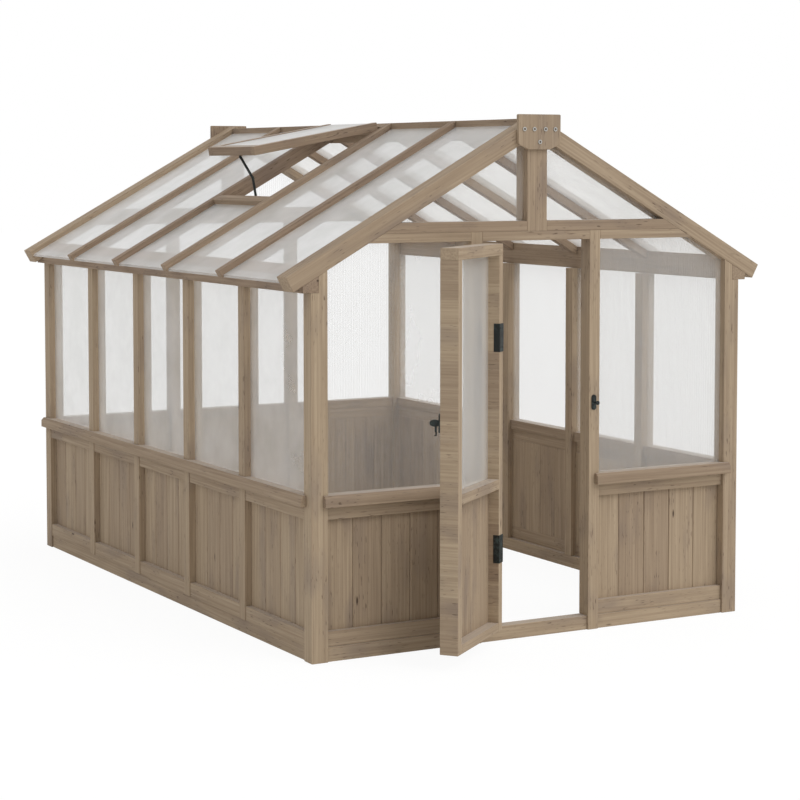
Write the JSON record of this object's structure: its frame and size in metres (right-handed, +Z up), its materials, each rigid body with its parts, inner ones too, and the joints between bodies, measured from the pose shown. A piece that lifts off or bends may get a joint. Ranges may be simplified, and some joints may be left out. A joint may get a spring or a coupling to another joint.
{
  "type": "wooden greenhouse",
  "caption": "Timber-framed garden greenhouse with a gabled twin-wall glazed roof, boarded dado, outward-opening side-hung door with a turn latch, and a hinged roof vent on a folding stay.",
  "frame": {"origin": "middle of the underside of the front ground sill, under the doorway", "axes": "+X to the right along the front gable, +Y from the front gable to the back along the ridge, +Z up"},
  "size_m": [2.648, 3.9876, 2.4963],
  "materials": {
    "timber": "weathered light brown softwood, planed",
    "twin_wall_sheet": "clear hazy twin-wall polycarbonate with fine flutes",
    "black_iron": "black japanned, satin",
    "zinc_steel": "dull zinc plate"
  },
  "bodies": {
    "frame": {"front_sill": "timber", "rear_sill": "timber", "side_sills": "timber", "front_corner_posts": "timber", "rear_corner_posts": "timber", "left_side_posts": "timber", "right_side_posts": "timber", "door_posts": "timber", "rear_studs": "timber", "wall_plates": "timber", "front_tie_beam": "timber", "rear_tie_beam": "timber", "head_rails": "timber", "king_posts": "timber", "front_rakes": "timber", "rear_rakes": "timber", "gusset_plates": "timber", "ridge_board": "timber", "left_rafters": "timber", "right_rafters": "timber", "vent_trimmers": "timber", "front_dado_rails": "timber", "front_dado_boards": "timber", "front_dado_caps": "timber", "left_dado_rails": "timber", "left_dado_boards": "timber", "left_dado_cap": "timber", "right_dado_rails": "timber", "right_dado_boards": "timber", "right_dado_cap": "timber", "rear_dado_rails": "timber", "rear_dado_boards": "timber", "rear_dado_caps": "timber", "left_roof_panes": "twin_wall_sheet", "right_roof_panes": "twin_wall_sheet", "front_wall_panes": "twin_wall_sheet", "left_wall_panes": "twin_wall_sheet", "right_wall_panes": "twin_wall_sheet", "rear_wall_panes": "twin_wall_sheet", "gable_panes": "twin_wall_sheet", "jamb_hinge_leaves": "black_iron", "keeper_plate": "black_iron", "keeper_stud": "black_iron", "ridge_hinge_leaves": "black_iron", "stay_foot_bracket": "black_iron", "gusset_bolts": "zinc_steel"},
    "door": {"door_stiles": "timber", "door_rails": "timber", "door_pane": "twin_wall_sheet", "door_boards": "timber", "door_hinge_leaves": "black_iron", "door_hinge_pins": "black_iron", "latch_plate": "black_iron"},
    "latch": {"latch_handle": "black_iron"},
    "vent": {"vent_sash_frame": "timber", "vent_pane": "twin_wall_sheet", "sash_hinge_leaves": "black_iron", "stay_head_bracket": "black_iron"},
    "stay_lower": {"stay_lower_arm": "black_iron"},
    "stay_upper": {"stay_upper_arm": "black_iron"}
  },
  "joints": [
    {"name": "door_hinge", "type": "hinge", "parent": "frame", "child": "door", "pos_m": [-0.2995, -0.051, 0.96], "axis": [0, 0, -1], "range_deg": [-141, 9]},
    {"name": "latch_turn", "type": "hinge", "parent": "door", "child": "latch", "pos_m": [-0.74638, -0.42317, 1.112], "axis": [-0.6293, 0.7771, 0], "range_deg": [0, 90]},
    {"name": "vent_hinge", "type": "hinge", "parent": "frame", "child": "vent", "pos_m": [-0.06183, 1.707, 2.4575], "axis": [0, 1, 0], "range_deg": [-18.7, 0]},
    {"name": "stay_lower_pivot", "type": "hinge", "parent": "frame", "child": "stay_lower", "pos_m": [-0.6838, 1.613, 2.06557], "axis": [0, 1, 0], "range_deg": [0, 69.51]},
    {"name": "stay_upper_pivot", "type": "hinge", "parent": "vent", "child": "stay_upper", "pos_m": [-0.77251, 1.613, 2.29659], "axis": [0, 1, 0], "range_deg": [-65.5, 0]}
  ],
  "couplings": [
    {"joint": "stay_lower_pivot", "follows": "vent_hinge", "ratio": -3.6901},
    {"joint": "stay_upper_pivot", "follows": "vent_hinge", "ratio": 3.4759}
  ]
}
